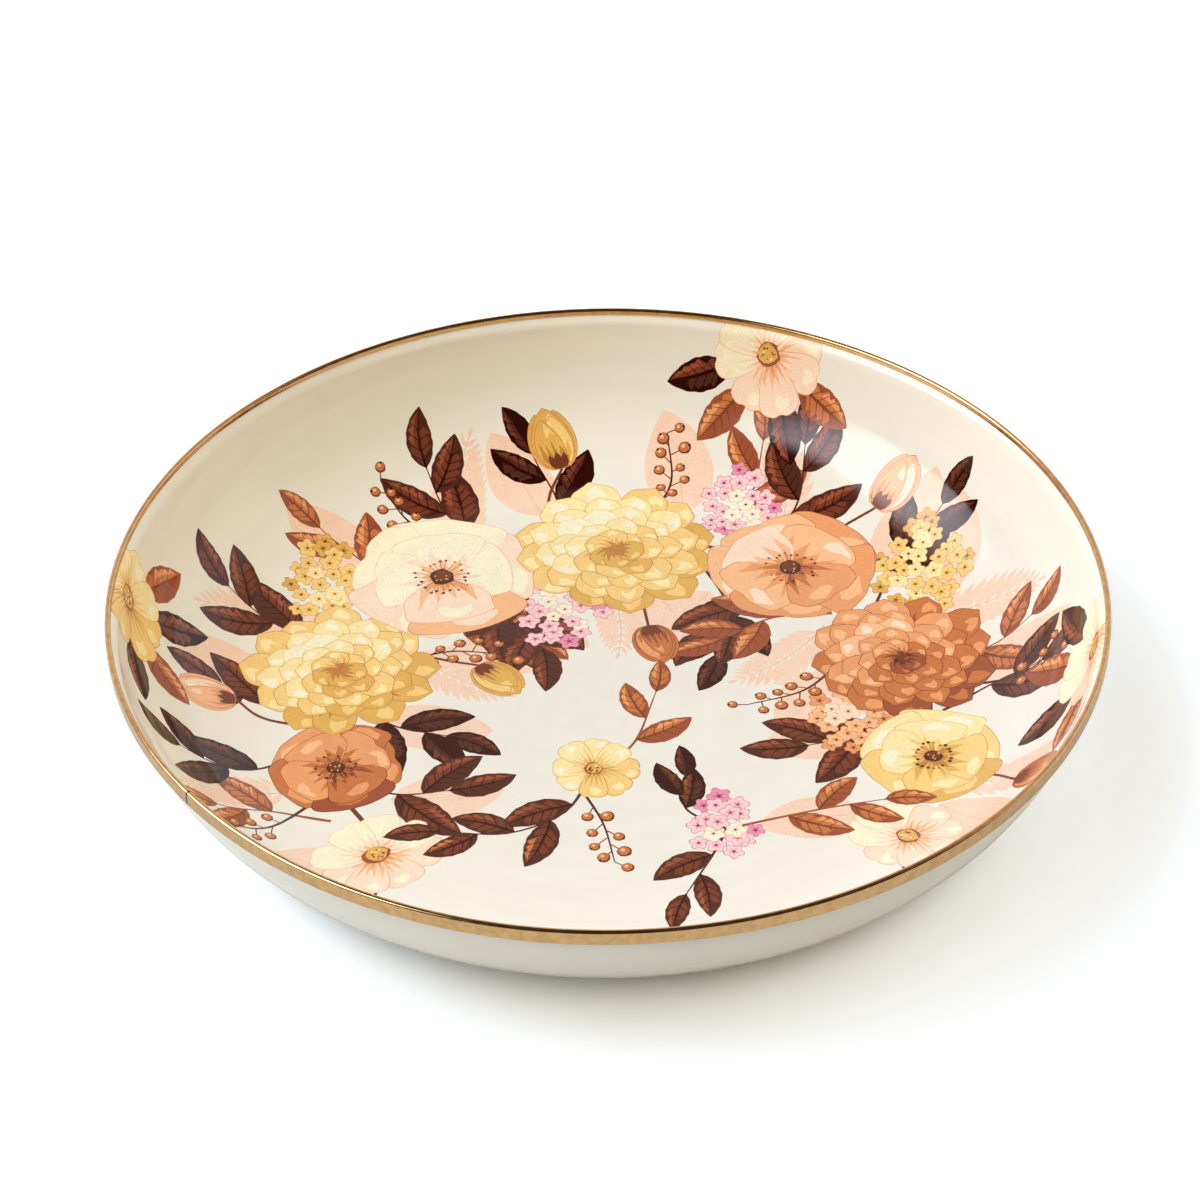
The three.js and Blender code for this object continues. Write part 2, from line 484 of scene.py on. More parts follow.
def florets(centre, radius, family, seed, number, level=3.4):
    """A loose head of small five-lobed flowers, lighter in front."""
    rng = random.Random(seed)
    upright = np.exp(1j * math.pi / 2)
    for index in range(number):
        share = 1 - index / number
        place = radius * math.sqrt(share) * np.exp(1j * GOLDEN_ANGLE * index + 1j * rng.uniform(-0.3, 0.3))
        place = centre + (1.35 * place.real + 1j * place.imag) * upright
        reach = 4.6 * rng.uniform(0.8, 1.1)
        turn = rng.uniform(0, 2 * math.pi)
        angles = np.arange(25) * 2 * math.pi / 25
        lobes = (0.50 + 0.50 * np.abs(np.cos(2.5 * angles)) ** 0.7) * np.exp(1j * (angles + turn))
        shown = level + 1.3 * (index / number) + rng.uniform(-0.6, 0.6)
        paint(place + (reach + 0.35) * lobes, tone(family, shown - 2))
        paint(place + reach * lobes, tone(family, shown))
        star = np.where(np.arange(10) % 2, 0.2, 0.55) * reach
        paint(place + star * np.exp(1j * (np.arange(10) * math.pi / 5 + turn)), tone(family, shown - 1))
        blob(place, 0.65, "plum" if family is ROSE else "bark", rng, 5)


def berries(path, seed, number):
    """Berries on short stalks along a stem."""
    rng = random.Random(seed)
    towards_light = np.exp(1j * LIGHT_FROM)
    for index in range(number):
        place = path[int((0.3 + 0.7 * index / (number - 1)) * (len(path) - 1))]
        side = 1 if index % 2 else -1
        heading = np.angle(path[-1] - path[0]) + side * rng.uniform(0.6, 1.1)
        centre = place + rng.uniform(4, 8) * np.exp(1j * heading)
        stroke(np.array([place, centre]), "umber", 0.6, 0.5)
        reach = 2.6 * rng.uniform(0.85, 1.15)
        blob(centre, reach, "umber", rng, 12, 0.05)
        blob(centre + reach * 0.14 * towards_light, reach * 0.8, "amber", rng, 11, 0.05)
        blob(centre + reach * 0.38 * towards_light, reach * 0.32, "peach", rng, 7, 0.1)
        blob(centre + reach * 0.8 * np.exp(1j * heading), 0.6, "night", rng, 5)


# ---- print: layout

GARLAND_CENTRE = complex(8, -18)
GARLAND_RADIUS = 122


def garland(azimuth, offset=0.0):
    """A place beside the garland's arc, by its azimuth in degrees and its distance outwards."""
    return GARLAND_CENTRE + (GARLAND_RADIUS + offset) * np.exp(1j * math.radians(azimuth))


def beside(azimuth, offset, lean):
    """A place beside the arc and the direction away from the arc there, turned by a lean."""
    return garland(azimuth, offset), math.radians(azimuth + lean) + (0 if offset >= 0 else math.pi)


def sprig(azimuth, offset, lean, length, seed, leaves, **looks):
    """A twig that leaves the garland outwards, or inwards where its offset is negative."""
    root, heading = beside(azimuth, offset * 0.5, lean)
    way = np.exp(1j * heading)
    side = 1j * way * math.copysign(0.12, lean or 1) * length
    return twig([root, root + 0.5 * length * way + side, root + length * way], seed, leaves, **looks)


def pale_foliage():
    """The ghosts of ferns and leaves behind everything."""
    for index, (azimuth, offset, lean, length) in enumerate((
        (62, 20, 10, 62), (118, 20, -8, 64), (152, 20, 12, 60), (28, 18, -14, 60), (196, 16, -10, 54),
        (96, -20, 18, 58), (150, -16, -24, 56), (38, -16, 22, 56), (-16, 14, -10, 54), (8, -16, -16, 50),
    )):
        fern(*beside(azimuth, offset, lean), length, 0.6 * (-1) ** index)
    for azimuth, offset, lean, length in (
        (80, 26, 8, 56), (104, 26, 6, 52), (44, 26, -4, 56), (12, 22, -14, 54), (170, 24, -15, 54),
        (176, -18, -15, 50), (212, 14, 20, 52), (124, -24, 10, 50), (68, -26, -12, 52), (84, -24, 24, 46),
        (20, -22, 20, 50), (136, 24, 0, 56), (-22, 10, -34, 50), (-2, -20, 6, 50), (204, -18, -26, 46),
        (148, -30, 22, 52), (32, 30, 26, 56), (-30, -14, 30, 44),
    ):
        ghost_leaf(*beside(azimuth, offset, lean), length)


def twigs():
    """The garland's own stem, and the leafy twigs on both sides of it."""
    stem = [garland(azimuth, 4 * math.sin(azimuth / 9)) for azimuth in range(-38, 226, 12)]
    stroke(curve(stem), "umber", 2.4, 2.0)
    dark = {"size": 38, "level": 2.3}
    warm = {"size": 33, "level": 4.2, "ink": "rust"}
    deep = {"size": 35, "level": 1.2}
    five = (0.3, 0.5, 0.7, 0.86, 1.0)
    four = (0.42, 0.62, 0.82, 1.0)
    three = (0.5, 0.75, 1.0)
    for azimuth, offset, lean, length, leaves, looks in (
        (221, 12, 26, 56, five, dark), (205, 16, -20, 46, three, warm), (186, 18, 10, 54, four, deep),
        (172, 14, 0, 40, three, dark), (150, 16, 15, 60, four, dark), (140, 18, -12, 54, three, warm),
        (112, 16, 18, 62, four, dark), (104, 14, -4, 56, three, deep), (76, 20, -17, 62, three, warm),
        (66, 16, -4, 64, four, dark), (36, 16, 18, 62, four, deep), (22, 16, -22, 52, three, warm),
        (4, 14, 10, 46, three, dark), (-36, 12, -30, 50, four, dark),
        (142, -16, 24, 48, four, warm), (128, -14, 0, 44, three, dark), (108, -16, -18, 58, four, dark),
        (73, -18, 22, 62, four, deep), (60, -14, 0, 44, three, dark), (40, -16, -20, 50, four, warm),
        (170, -14, -22, 46, four, deep), (196, -12, -24, 40, three, dark), (6, -14, 24, 48, four, dark),
    ):
        sprig(azimuth, offset, lean, length, 101 + azimuth, leaves, **looks)


def clusters():
    """Heads of small flowers, buds and berries, behind the blooms."""
    florets(garland(109, -36), 21, ROSE, 201, 34)
    florets(garland(143, 38), 18, SUN, 202, 28)
    florets(garland(37, 38), 21, SUN, 203, 38, 3.2)
    florets(garland(71, 34), 16, ROSE, 204, 24)
    florets(garland(3, -32), 15, EMBER, 205, 22, 4.2)
    for azimuth, offset, lean, size, family, seed in (
        (174, 40, 14, 27, BLUSH, 401), (99, 54, 10, 30, SUN, 402), (51, 54, -16, 29, BLUSH, 403),
        (82, -56, 22, 26, EMBER, 404), (147, -48, -14, 26, SUN, 405), (-18, 40, -10, 25, EMBER, 406),
    ):
        root, heading = beside(azimuth, offset, lean)
        stem = [garland(azimuth + 5, offset * 0.2), garland(azimuth + 3, offset * 0.7), root]
        stroke(curve(stem), "umber", 1.6, 1.3)
        tulip(root, heading, size, family, seed)
    for azimuth, offset, lean, seed in (
        (119, 44, 22, 502), (25, -46, 10, 504), (200, 28, 14, 506),
        (9, 46, -4, 508), (158, -30, 30, 510), (86, 40, -8, 512),
    ):
        berries(sprig(azimuth, offset, lean, 50, seed, ()), seed, 9)


def blooms():
    cosmos(garland(217, 2), 29, BLUSH, 301, 4.6, 0.82, 0.6)
    cosmos(garland(-32, 6), 26, BLUSH, 302, 4.2, 0.8, 2.4)
    poppy(garland(191, -2), 28, EMBER, 303, 3.6)
    dahlia(garland(162, 4), 41, SUN, 304, 4.3)
    poppy(garland(128, 6), 41, BLUSH, 305, 4.8)
    dahlia(garland(92, -2), 46, SUN, 306, 4.5)
    poppy(garland(56, 5), 38, EMBER, 307, 4.9)
    dahlia(garland(21, 0), 40, EMBER, 308, 3.7)
    poppy(garland(-9, 2), 29, SUN, 309, 4.8)


def front_sprigs():
    warm = {"size": 28, "ink": "rust"}
    left = [spot(262, 44), spot(256, 70), spot(244, 90), spot(230, 104)]
    twig(left, 601, (0.3, 0.47, 0.65, 0.83, 1.0), size=30, level=2.4)
    berries(twig([spot(258, 56), spot(268, 76), spot(271, 98)], 602, thick=1.3), 603, 8)
    twig([spot(264, 44), spot(290, 30), spot(10, 20)], 608, (0.45, 0.7, 1.0), level=4.2, **warm)
    cosmos(spot(262, 44), 19, SUN, 604, 4.6)
    right = [spot(-60, 92), spot(-49, 98), spot(-38, 110), spot(-30, 126)]
    twig(right, 605, (0.4, 0.6, 0.8, 1.0), level=4.4, **warm)
    twig([spot(-60, 92), spot(-68, 104), spot(-76, 120)], 606, (0.4, 0.7, 1.0), size=28, level=2.2)
    twig([spot(-60, 92), spot(-66, 74), spot(-58, 58)], 609, (0.5, 0.75, 1.0), size=26, level=1.4)
    florets(spot(-60, 90), 13, ROSE, 607, 17)


def rim_blooms():
    for azimuth, family, kind, seed in (
        (243, BLUSH, poppy, 701), (-47, SUN, dahlia, 702), (283, EMBER, cosmos, 703),
        (-8, BLUSH, cosmos, 704), (177, SUN, cosmos, 705), (68, BLUSH, cosmos, 706),
    ):
        middle = spot(azimuth, 217)
        for index, lean in enumerate((-62, -28, 24, 58)):
            heading = math.radians(azimuth + 180 + lean)
            root = middle + 20 * np.exp(1j * heading)
            leaf(root, heading, 32, seed * 10 + index, level=2.0 + 2.2 * (index % 2))
        kind(middle, 30, family, seed)


# A garland round the back of the bowl, open to the front
pale_foliage()
twigs()
clusters()
blooms()
front_sprigs()
rim_blooms()


# ---- bowl

COVERED_REACH = 229.0  # millimetres; from here on the band hides the print
CLOSEST = 0.004  # millimetres; vertices of the print nearer than this become one
STRAIGHT = 0.03  # millimetres; a vertex of the print this near to a straight line goes
STRAIGHTENINGS = 8
SHUFFLE = 7919  # a prime, which puts vertices in a mixed order

# The gloss adds this much light to an ink in the studio
PICTURE_VEIL = (0.045, 0.027, 0.019)
DARKEST = 0.0015

# Painted light: the inks grow paler up the wall between these distances from the middle, standing in for the
# light the walls catch from the bowl and the room
WALL_FOOT = 115 * MM
WALL_FULLY_LIT = 165 * MM
WALL_PAINTED_LIGHT = np.array([1.13, 1.10, 1.07])

# Under the band the sheet's edge is painted nearly black: painted shade, which shows in the band's seam as
# the shade of its narrow gap
SEAM_GAP_SHADE = (0.03, 0.018, 0.012)
SEAM_GAP_SHADE_INSET = 0.5 * MM  # how far it stays behind the band's feet

# The two sides in the bowl's map, each a disc with a middle and a radius, and the shares of the
# outside's radius that its surface and the sheet's rounded edge take up
INSIDE_MAP = (0.41 + 0.41j, 0.40)
OUTSIDE_MAP = (0.825 + 0.825j, 0.16)
SURFACE_SHARE = 0.97
EDGE_SHARE = 0.03


def ink_colours():
    """The inks' own colours, without what the studio adds to them, and how grainy they are."""
    shown = np.array(list(INKS.values())) / 255
    light = np.where(shown <= 0.04045, shown / 12.92, ((shown + 0.055) / 1.055) ** 2.4)
    grain = np.arange(len(INKS)) > 0
    return np.column_stack([np.maximum(light - PICTURE_VEIL, DARKEST), grain])


def ring(reach, count, turn=0.0):
    azimuth = np.arange(count) * 2 * np.pi / count + turn
    return reach * np.exp(1j * azimuth)


def ring_reaches():
    """How far from the middle rings of vertices go round: the floor, the wall and the lip."""
    floor = np.arange(FLOOR_STEP, FLOOR_REACH, FLOOR_STEP)
    wall = np.arange(floor[-1] + WALL_STEP, LIP_REACH, WALL_STEP)
    lip = np.arange(LIP_REACH, FLARE_REACH, LIP_STEP)
    flare = np.arange(FLARE_REACH, EDGE_REACH - FLARE_STEP / 2, FLARE_STEP)
    return floor, wall, np.concatenate([lip, flare])


def surrounded(points, outline):
    """Which of the points lie inside an outline."""
    start = outline[:, None]
    end = np.roll(outline, -1)[:, None]
    rise = np.where(end.imag == start.imag, 1, end.imag - start.imag)
    crossing = start.real + (points.imag - start.imag) * (end.real - start.real) / rise
    passes = ((start.imag > points.imag) != (end.imag > points.imag)) & (points.real < crossing)
    return passes.sum(axis=0) % 2 == 1


def inks_at(points, shapes):
    """The number of the topmost ink at each point."""
    order = np.argsort(points.real)
    ordered = points[order]
    inks = np.zeros(len(points), int)
    for outline, ink in shapes:
        first, last = np.searchsorted(ordered.real, [outline.real.min(), outline.real.max()])
        near = order[first:last]
        height = points[near].imag
        near = near[(height > outline.imag.min()) & (height < outline.imag.max())]
        inks[near[surrounded(points[near], outline)]] = INK_NAMES.index(ink)
    return inks


def divided(points, edges):
    """Triangles that keep the edges, which may cross."""
    vertices = [Vector((point.real, point.imag)) for point in points]
    result = delaunay_2d_cdt(vertices, edges.tolist(), [], 0, CLOSEST, False)
    return np.array([complex(*vertex) for vertex in result[0]]), np.array(result[2])


def closed_loops(outlines, count=0):
    """The points of outlines end to end, and the edges round each, which are counted from count."""
    edges = []
    for outline in outlines:
        start = np.arange(len(outline)) + count
        edges.append(np.column_stack([start, np.roll(start, -1)]))
        count += len(outline)
    return np.concatenate(outlines), np.concatenate(edges)


def borders(triangles, inks):
    """The edges between two inks."""
    edges = np.sort(np.vstack([triangles[:, :2], triangles[:, 1:], triangles[:, ::2]]), axis=1)
    order = np.lexsort(edges.T)
    edges = edges[order]
    inks = np.tile(inks, 3)[order]
    shared = (edges[1:] == edges[:-1]).all(axis=1)
    return edges[:-1][shared & (inks[1:] != inks[:-1])]


def straightened(points, edges):
    """Takes out the vertices that lie as good as straight between their two neighbours."""
    for _ in range(STRAIGHTENINGS):
        ends = edges.ravel()
        order = np.argsort(ends, kind="stable")
        vertices, first, valence = np.unique(ends[order], return_index=True, return_counts=True)
        plain = valence == 2
        middle = vertices[plain]
        others = edges[:, ::-1].ravel()[order]
        before = others[first[plain]]
        after = others[first[plain] + 1]
        span = points[after] - points[before]
        twice_area = np.abs(((points[middle] - points[before]) * np.conj(span)).imag)
        offset = twice_area / np.maximum(np.abs(span), 1e-9)
        goes = np.zeros(len(points), bool)
        goes[middle[(offset < STRAIGHT) & (before != after)]] = True
        # Of neighbours that could go, only the one with the highest rank does
        rank = np.where(goes, (np.arange(len(points)) * SHUFFLE) % len(points), -1)
        chosen = goes[middle] & (rank[middle] > rank[before]) & (rank[middle] > rank[after])
        dropped = np.zeros(len(points), bool)
        dropped[middle[chosen]] = True
        kept = edges[~dropped[edges].any(axis=1)]
        edges = np.vstack([kept, np.column_stack([before[chosen], after[chosen]])])
    used, numbers = np.unique(edges, return_inverse=True)
    return points[used], numbers.reshape(edges.shape)


def flat_mesh():
    """The inside laid flat, with faces of its own for every field of ink: vertices, triangles and inks."""
    shapes = []
    for outline, ink in SHAPES:
        reach = np.abs(outline)
        if reach.min() < COVERED_REACH:
            shapes.append((outline * np.minimum(1, COVERED_REACH / np.maximum(reach, 1)), ink))
    points, triangles = divided(*closed_loops([outline for outline, ink in shapes]))
    edges = borders(triangles, inks_at(points[triangles].mean(axis=1), shapes))
    points, edges = straightened(points, edges)

    floor, wall, lip = (reaches / MM for reaches in ring_reaches())
    loose = [np.array([0j])]
    for index, reach in enumerate(floor):
        loose.append(ring(reach, max(12, int(SECTORS * reach * MM / EDGE_REACH / 2)), index))
    for index, reach in enumerate(wall):
        loose.append(ring(reach, SECTORS, (index % 2) * np.pi / SECTORS))
    closed = [ring(reach, SECTORS) for reach in [*lip, EDGE_REACH / MM]]
    rings, ring_edges = closed_loops(closed, len(points))
    flat, triangles = divided(np.concatenate([points, rings, *loose]), np.vstack([edges, ring_edges]))
    return flat * MM, triangles, inks_at(flat[triangles].mean(axis=1), shapes)


def new_object(name, data):
    obj = bpy.data.objects.new(name, data)
    bpy.context.scene.collection.objects.link(obj)
    return obj


def build_mesh(name, points, faces, normals):
    mesh = bpy.data.meshes.new(name)
    mesh.from_pydata(points.tolist(), [], faces)
    mesh.shade_smooth()
    mesh.normals_split_custom_set_from_vertices(normals.tolist())
    return new_object(name, mesh)


def quads_between(first, second):
    return np.column_stack([first, second, np.roll(second, -1), np.roll(first, -1)]).tolist()


def on_map(side, place):
    middle, radius = side
    return middle + radius * place


def outside_rings(azimuth):
    """Rings over the sheet's edge and down the outside: points, normals and distance on the map."""
    for angle in np.linspace(np.pi, 0, EDGE_STEPS + 1)[1:-1]:
        cosine = math.cos(angle)
        sine = math.sin(angle)
        points = turned(BEAD_CENTRE + SHEET / 2 * cosine, BEAD_LEVEL + SHEET / 2 * sine, azimuth)
        yield points, turned(cosine, sine, azimuth), SURFACE_SHARE + EDGE_SHARE * angle / np.pi
    floor, wall, lip = ring_reaches()
    for reach in [EDGE_REACH, *lip[::-1], *wall[::-1], *floor[::-1]]:
        points, normals = on_surface(np.full(len(azimuth), reach), azimuth, SHEET)
        yield points, -normals, SURFACE_SHARE * reach / EDGE_REACH


def corner_colours(inks, inside, reach, level):
    """The inks inside, paler up the wall by painted light, and the ground outside. Under the band is painted
    shade, nearly black, for the seam's gap.
    """
    palette = ink_colours()
    colours = np.tile(palette[0], (len(inside), 1))
    colours[inside] = np.repeat(palette[inks], 3, axis=0)
    # Painted light: the inks grow paler up the wall
    climbed = np.clip((reach - WALL_FOOT) / (WALL_FULLY_LIT - WALL_FOOT), 0, 1)
    climbed = (climbed**2 * (3 - 2 * climbed))[:, None]
    colours[inside, :3] *= 1 + climbed * (WALL_PAINTED_LIGHT - 1)
    # Painted shade: nearly black under the band, where it shows through the seam's gap
    foot = np.where(inside, RIM_LEVEL - BAND_INNER_LEG, BAND_FOOT)
    colours[level > foot + SEAM_GAP_SHADE_INSET, :3] = SEAM_GAP_SHADE
    return colours


def bowl():
    flat, triangles, inks = flat_mesh()
    reach = np.abs(flat)
    surface, facing = on_surface(reach, np.angle(flat))
    points = [surface]
    normals = [facing]
    places = [on_map(INSIDE_MAP, flat / EDGE_REACH)]
    faces = triangles.tolist()

    edge = np.flatnonzero(reach > EDGE_REACH - 0.01 * MM)
    last = edge[np.argsort(np.angle(flat[edge]) % (2 * np.pi))]
    azimuth = np.angle(flat[last])
    count = len(flat)
    for ring_points, ring_normals, share in outside_rings(azimuth):
        points.append(ring_points)
        normals.append(ring_normals)
        places.append(on_map(OUTSIDE_MAP, share * np.exp(1j * azimuth)))
        following = np.arange(len(azimuth)) + count
        faces.extend(quads_between(last, following))
        count += len(azimuth)
        last = following
    middle, above = on_surface(np.zeros(1), np.zeros(1), SHEET)
    points.append(middle)
    normals.append(-above)
    places.append(on_map(OUTSIDE_MAP, np.zeros(1)))
    faces.extend([[b, a, count] for a, b in zip(last, np.roll(last, -1))])

    points = np.vstack(points)
    piece = build_mesh("enamel", points, faces, np.vstack(normals))
    mesh = piece.data
    corners = np.array([loop.vertex_index for loop in mesh.loops])
    inside = np.arange(len(corners)) < 3 * len(triangles)

    # The sheet's edge belongs to both sides of the map
    place = np.concatenate(places)[corners]
    on_edge = ~inside & (corners < len(flat))
    place[on_edge] = on_map(OUTSIDE_MAP, flat[corners[on_edge]] / EDGE_REACH)
    layer = mesh.uv_layers.new(name="OFBake")
    layer.uv.foreach_set("vector", np.column_stack([place.real, place.imag]).astype(np.float32).ravel())

    colours = corner_colours(inks, inside, reach[corners[inside]], points[corners, 2])
    attribute = mesh.color_attributes.new("ink", "FLOAT_COLOR", "CORNER")
    attribute.data.foreach_set("color", colours.astype(np.float32).ravel())
    return piece


# ---- rim band

BAND_SECTORS = 540
ROUNDING_STEPS = 4  # of each edge of the strip
OUTER_LEG_STEPS = 7
BEAD_STEPS = 24
INNER_LEG_STEPS = 3


def band_spine():
    """The middle of the strip from its outer foot over the bead to its inner foot, as rows of
    radius, height, direction out of the strip and half thickness."""
    half = BAND_GAUGE / 2
    radius = BEAD_RADIUS - half
    leg = BEAD_LEVEL - BAND_FOOT
    inner_leg = BAND_INNER_LEG - BEAD_RADIUS
    rounding = half * (1 - np.cos(np.linspace(0, np.pi / 2, ROUNDING_STEPS + 1)))
    rows = []
    for climbed in [*rounding, *np.linspace(half, leg, OUTER_LEG_STEPS + 1)[1:]]:
        rows.append([BEAD_CENTRE + radius, BAND_FOOT + climbed, 0.0, climbed])
    for angle in np.linspace(0, np.pi, BEAD_STEPS + 1)[1:-1]:
        place = [BEAD_CENTRE + radius * math.cos(angle), BEAD_LEVEL + radius * math.sin(angle)]
        rows.append([*place, angle, half])
    for left in [*np.linspace(half, inner_leg, INNER_LEG_STEPS + 1)[:0:-1], *rounding[::-1]]:
        rows.append([BEAD_CENTRE - radius, RIM_LEVEL - BAND_INNER_LEG + left, np.pi, left])
    rows = np.array(rows)
    near_end = np.minimum(rows[:, 3], half)
    rows[:, 3] = np.sqrt(half**2 - (half - near_end) ** 2)
    return rows


def rim_band():
    radius, level, angle, half = band_spine().T
    out = np.column_stack([np.cos(angle), np.sin(angle)]) * half[:, None]
    centre = np.column_stack([radius, level])
    loop = np.vstack([centre + out, (centre - out)[-2:0:-1]])
    step = np.roll(loop, -1, axis=0) - np.roll(loop, 1, axis=0)
    facing = np.column_stack([step[:, 1], -step[:, 0]])
    facing /= np.linalg.norm(facing, axis=1)[:, None]

    gap = SEAM_WIDTH / BAND_RADIUS
    size = len(loop)
    count = BAND_SECTORS + 1
    azimuth = np.repeat(SEAM_AZIMUTH + np.linspace(gap / 2, 2 * np.pi - gap / 2, count), size)
    faces = []
    for start in range(0, BAND_SECTORS * size, size):
        first = np.arange(size) + start
        faces.extend(quads_between(first, first + size))

    # The strip's two cut ends, each a row of faces between its outer and its inner surface
    number = len(centre)
    pairs = [[i, 2 * number - 2 - i] for i in range(1, number - 1)]
    cap = [[0, *pairs[0]]]
    cap += [[a, c, d, b] for (a, b), (c, d) in zip(pairs, pairs[1:])]
    cap += [[pairs[-1][0], number - 1, pairs[-1][1]]]
    faces.extend(cap)
    faces.extend([[BAND_SECTORS * size + corner for corner in face[::-1]] for face in cap])
    points = turned(*np.tile(loop.T, count), azimuth)
    return build_mesh("band", points, faces, turned(*np.tile(facing.T, count), azimuth))


# ---- node graphs


class Graph:
    """The nodes of a material or of the world. Each method gives a socket with a result. A value that
    is fed to one is a number, a colour, a vector or another socket."""

    def __init__(self, owner):
        owner.use_nodes = True
        self.nodes = owner.node_tree.nodes
        self.links = owner.node_tree.links
        self.coordinates = self.nodes.new("ShaderNodeTexCoord").outputs

    def feed(self, socket, value):
        if isinstance(value, bpy.types.NodeSocket):
            self.links.new(value, socket)
        elif socket.type == "RGBA":
            socket.default_value = (*value, 1)
        else:
            socket.default_value = value

    def node(self, kind, fed, **settings):
        """The outputs of a new node. Its inputs are fed by name or number."""
        node = self.nodes.new("ShaderNode" + kind)
        for name, setting in settings.items():
            setattr(node, name, setting)
        for name, value in fed.items():
            self.feed(node.inputs[name], value)
        return node.outputs

    def math(self, operation, *values):
        return self.node("Math", dict(enumerate(values)), operation=operation)[0]

    def times(self, first, second):
        return self.math("MULTIPLY", first, second)

    def vector(self, operation, first, second):
        fed = {0: first, "Scale" if operation == "SCALE" else 1: second}
        result = "Value" if operation == "DOT_PRODUCT" else "Vector"
        return self.node("VectorMath", fed, operation=operation)[result]

    def split(self, vector):
        return dict(self.node("SeparateXYZ", {0: vector}).items())

    def ramp(self, source, low, high):
        """A smooth step of a number from 0 at low to 1 at high."""
        fed = {"Value": source, "From Min": low, "From Max": high}
        return self.node("MapRange", fed, interpolation_type="SMOOTHSTEP")["Result"]

    def blend(self, share, first, second):
        return self.node("Mix", {0: share, 6: first, 7: second}, data_type="RGBA")[2]

    def noise(self, vector, scale, detail=2.0, roughness=0.5, fourth=None):
        """Soft noise from 0 to 1, whose scale counts blotches to the unit of the vector."""
        fed = {"Vector": vector, "Scale": scale, "Detail": detail, "Roughness": roughness}
        if fourth:
            fed["W"] = fourth
        return self.node("TexNoise", fed, noise_dimensions="4D" if fourth else "3D")["Fac"]

    def streaks(self, turns, across, detail, roughness):
        """Noise in streaks round the bowl: how many turns to the radian and how many across to the metre."""
        axes = self.split(self.coordinates["Object"])
        squares = [self.times(axes[name], axes[name]) for name in "XY"]
        radius = self.math("MAXIMUM", self.math("SQRT", self.math("ADD", *squares)), 0.001)
        fed = {name: self.times(self.math("DIVIDE", axes[name], radius), turns) for name in "XY"}
        fed["Z"] = self.times(axes["Z"], across)
        vector = self.node("CombineXYZ", fed)[0]
        return self.noise(vector, 1.0, detail, roughness, self.times(radius, across))

    def bump(self, height, depth, below=None):
        """Relief of this depth in metres, on top of other relief."""
        fed = {"Strength": 1.0, "Distance": depth, "Height": height}
        if below:
            fed["Normal"] = below
        return self.node("Bump", fed)["Normal"]


# ---- materials

# How much each unevenness of the enamel changes its colour
SPECKLE_AMOUNT = 0.9
COVER_AMOUNT = 0.16
TINT_AMOUNT = 0.04
COAT_AMOUNT = 0.10

BRONZE_DEEP = (0.54, 0.335, 0.15)
BRONZE_LIGHT = (0.70, 0.455, 0.22)
# The dark at the seam: the cut ends' own dull tone and painted shade of the narrow gap between them
SEAM_COLOUR = (0.09, 0.05, 0.03)
SEAM_DARKENING = (0.60 * MM, 0.30 * MM)  # from the seam's middle: where the darkening begins and is full


def new_material(name):
    material = bpy.data.materials.new(name)
    graph = Graph(material)
    return material, graph, graph.nodes["Principled BSDF"]


def enamel_material():
    """Inks with grain and uneven cover, under a gloss with waves and the relief of orange peel."""
    material, graph, shader = new_material("enamel")
    place = graph.coordinates["Object"]
    ink = graph.node("Attribute", {}, attribute_name="ink")

    speckle = graph.math("SUBTRACT", graph.noise(place, 2600, 2, 0.6), 0.5)
    cover = graph.math("SUBTRACT", graph.noise(place, 240, 3), 0.5)
    grain = graph.math("MULTIPLY_ADD", speckle, SPECKLE_AMOUNT, graph.times(cover, COVER_AMOUNT))
    grain = graph.times(grain, ink["Alpha"])
    tint = graph.math("SUBTRACT", graph.noise(place, 35), 0.5)
    factor = graph.math("ADD", graph.math("MULTIPLY_ADD", tint, TINT_AMOUNT, grain), 1.0)
    coat = graph.math("SUBTRACT", graph.streaks(2.0, 110.0, 2, 0.6), 0.5)
    factor = graph.math("MULTIPLY_ADD", coat, COAT_AMOUNT, factor)
    graph.feed(shader.inputs["Base Color"], graph.vector("SCALE", ink["Color"], factor))

    roughness = graph.math("MULTIPLY_ADD", graph.noise(place, 90, 3), 0.08, 0.035)
    graph.feed(shader.inputs["Roughness"], roughness)
    shader.inputs["Specular IOR Level"].default_value = 0.4

    waves = graph.bump(graph.streaks(3.0, 70.0, 1, 0.4), 0.00022)
    waves = graph.bump(graph.noise(place, 28, 1), 0.00018, waves)
    graph.feed(shader.inputs["Normal"], graph.bump(graph.noise(place, 700, 1), 0.0000011, waves))
    return material


def seam_dull_and_shaded(graph, place):
    """1 at the strip's two cut ends and 0 away from them: their own dull tone and painted shade of the
    seam's narrow gap.
    """
    cosine = math.cos(SEAM_AZIMUTH)
    sine = math.sin(SEAM_AZIMUTH)
    apart = graph.math("ABSOLUTE", graph.vector("DOT_PRODUCT", place, (-sine, cosine, 0)))
    this_side = graph.vector("DOT_PRODUCT", place, (cosine, sine, 0))
    return graph.times(graph.ramp(apart, *SEAM_DARKENING), graph.ramp(this_side, 0, BAND_RADIUS / 2))


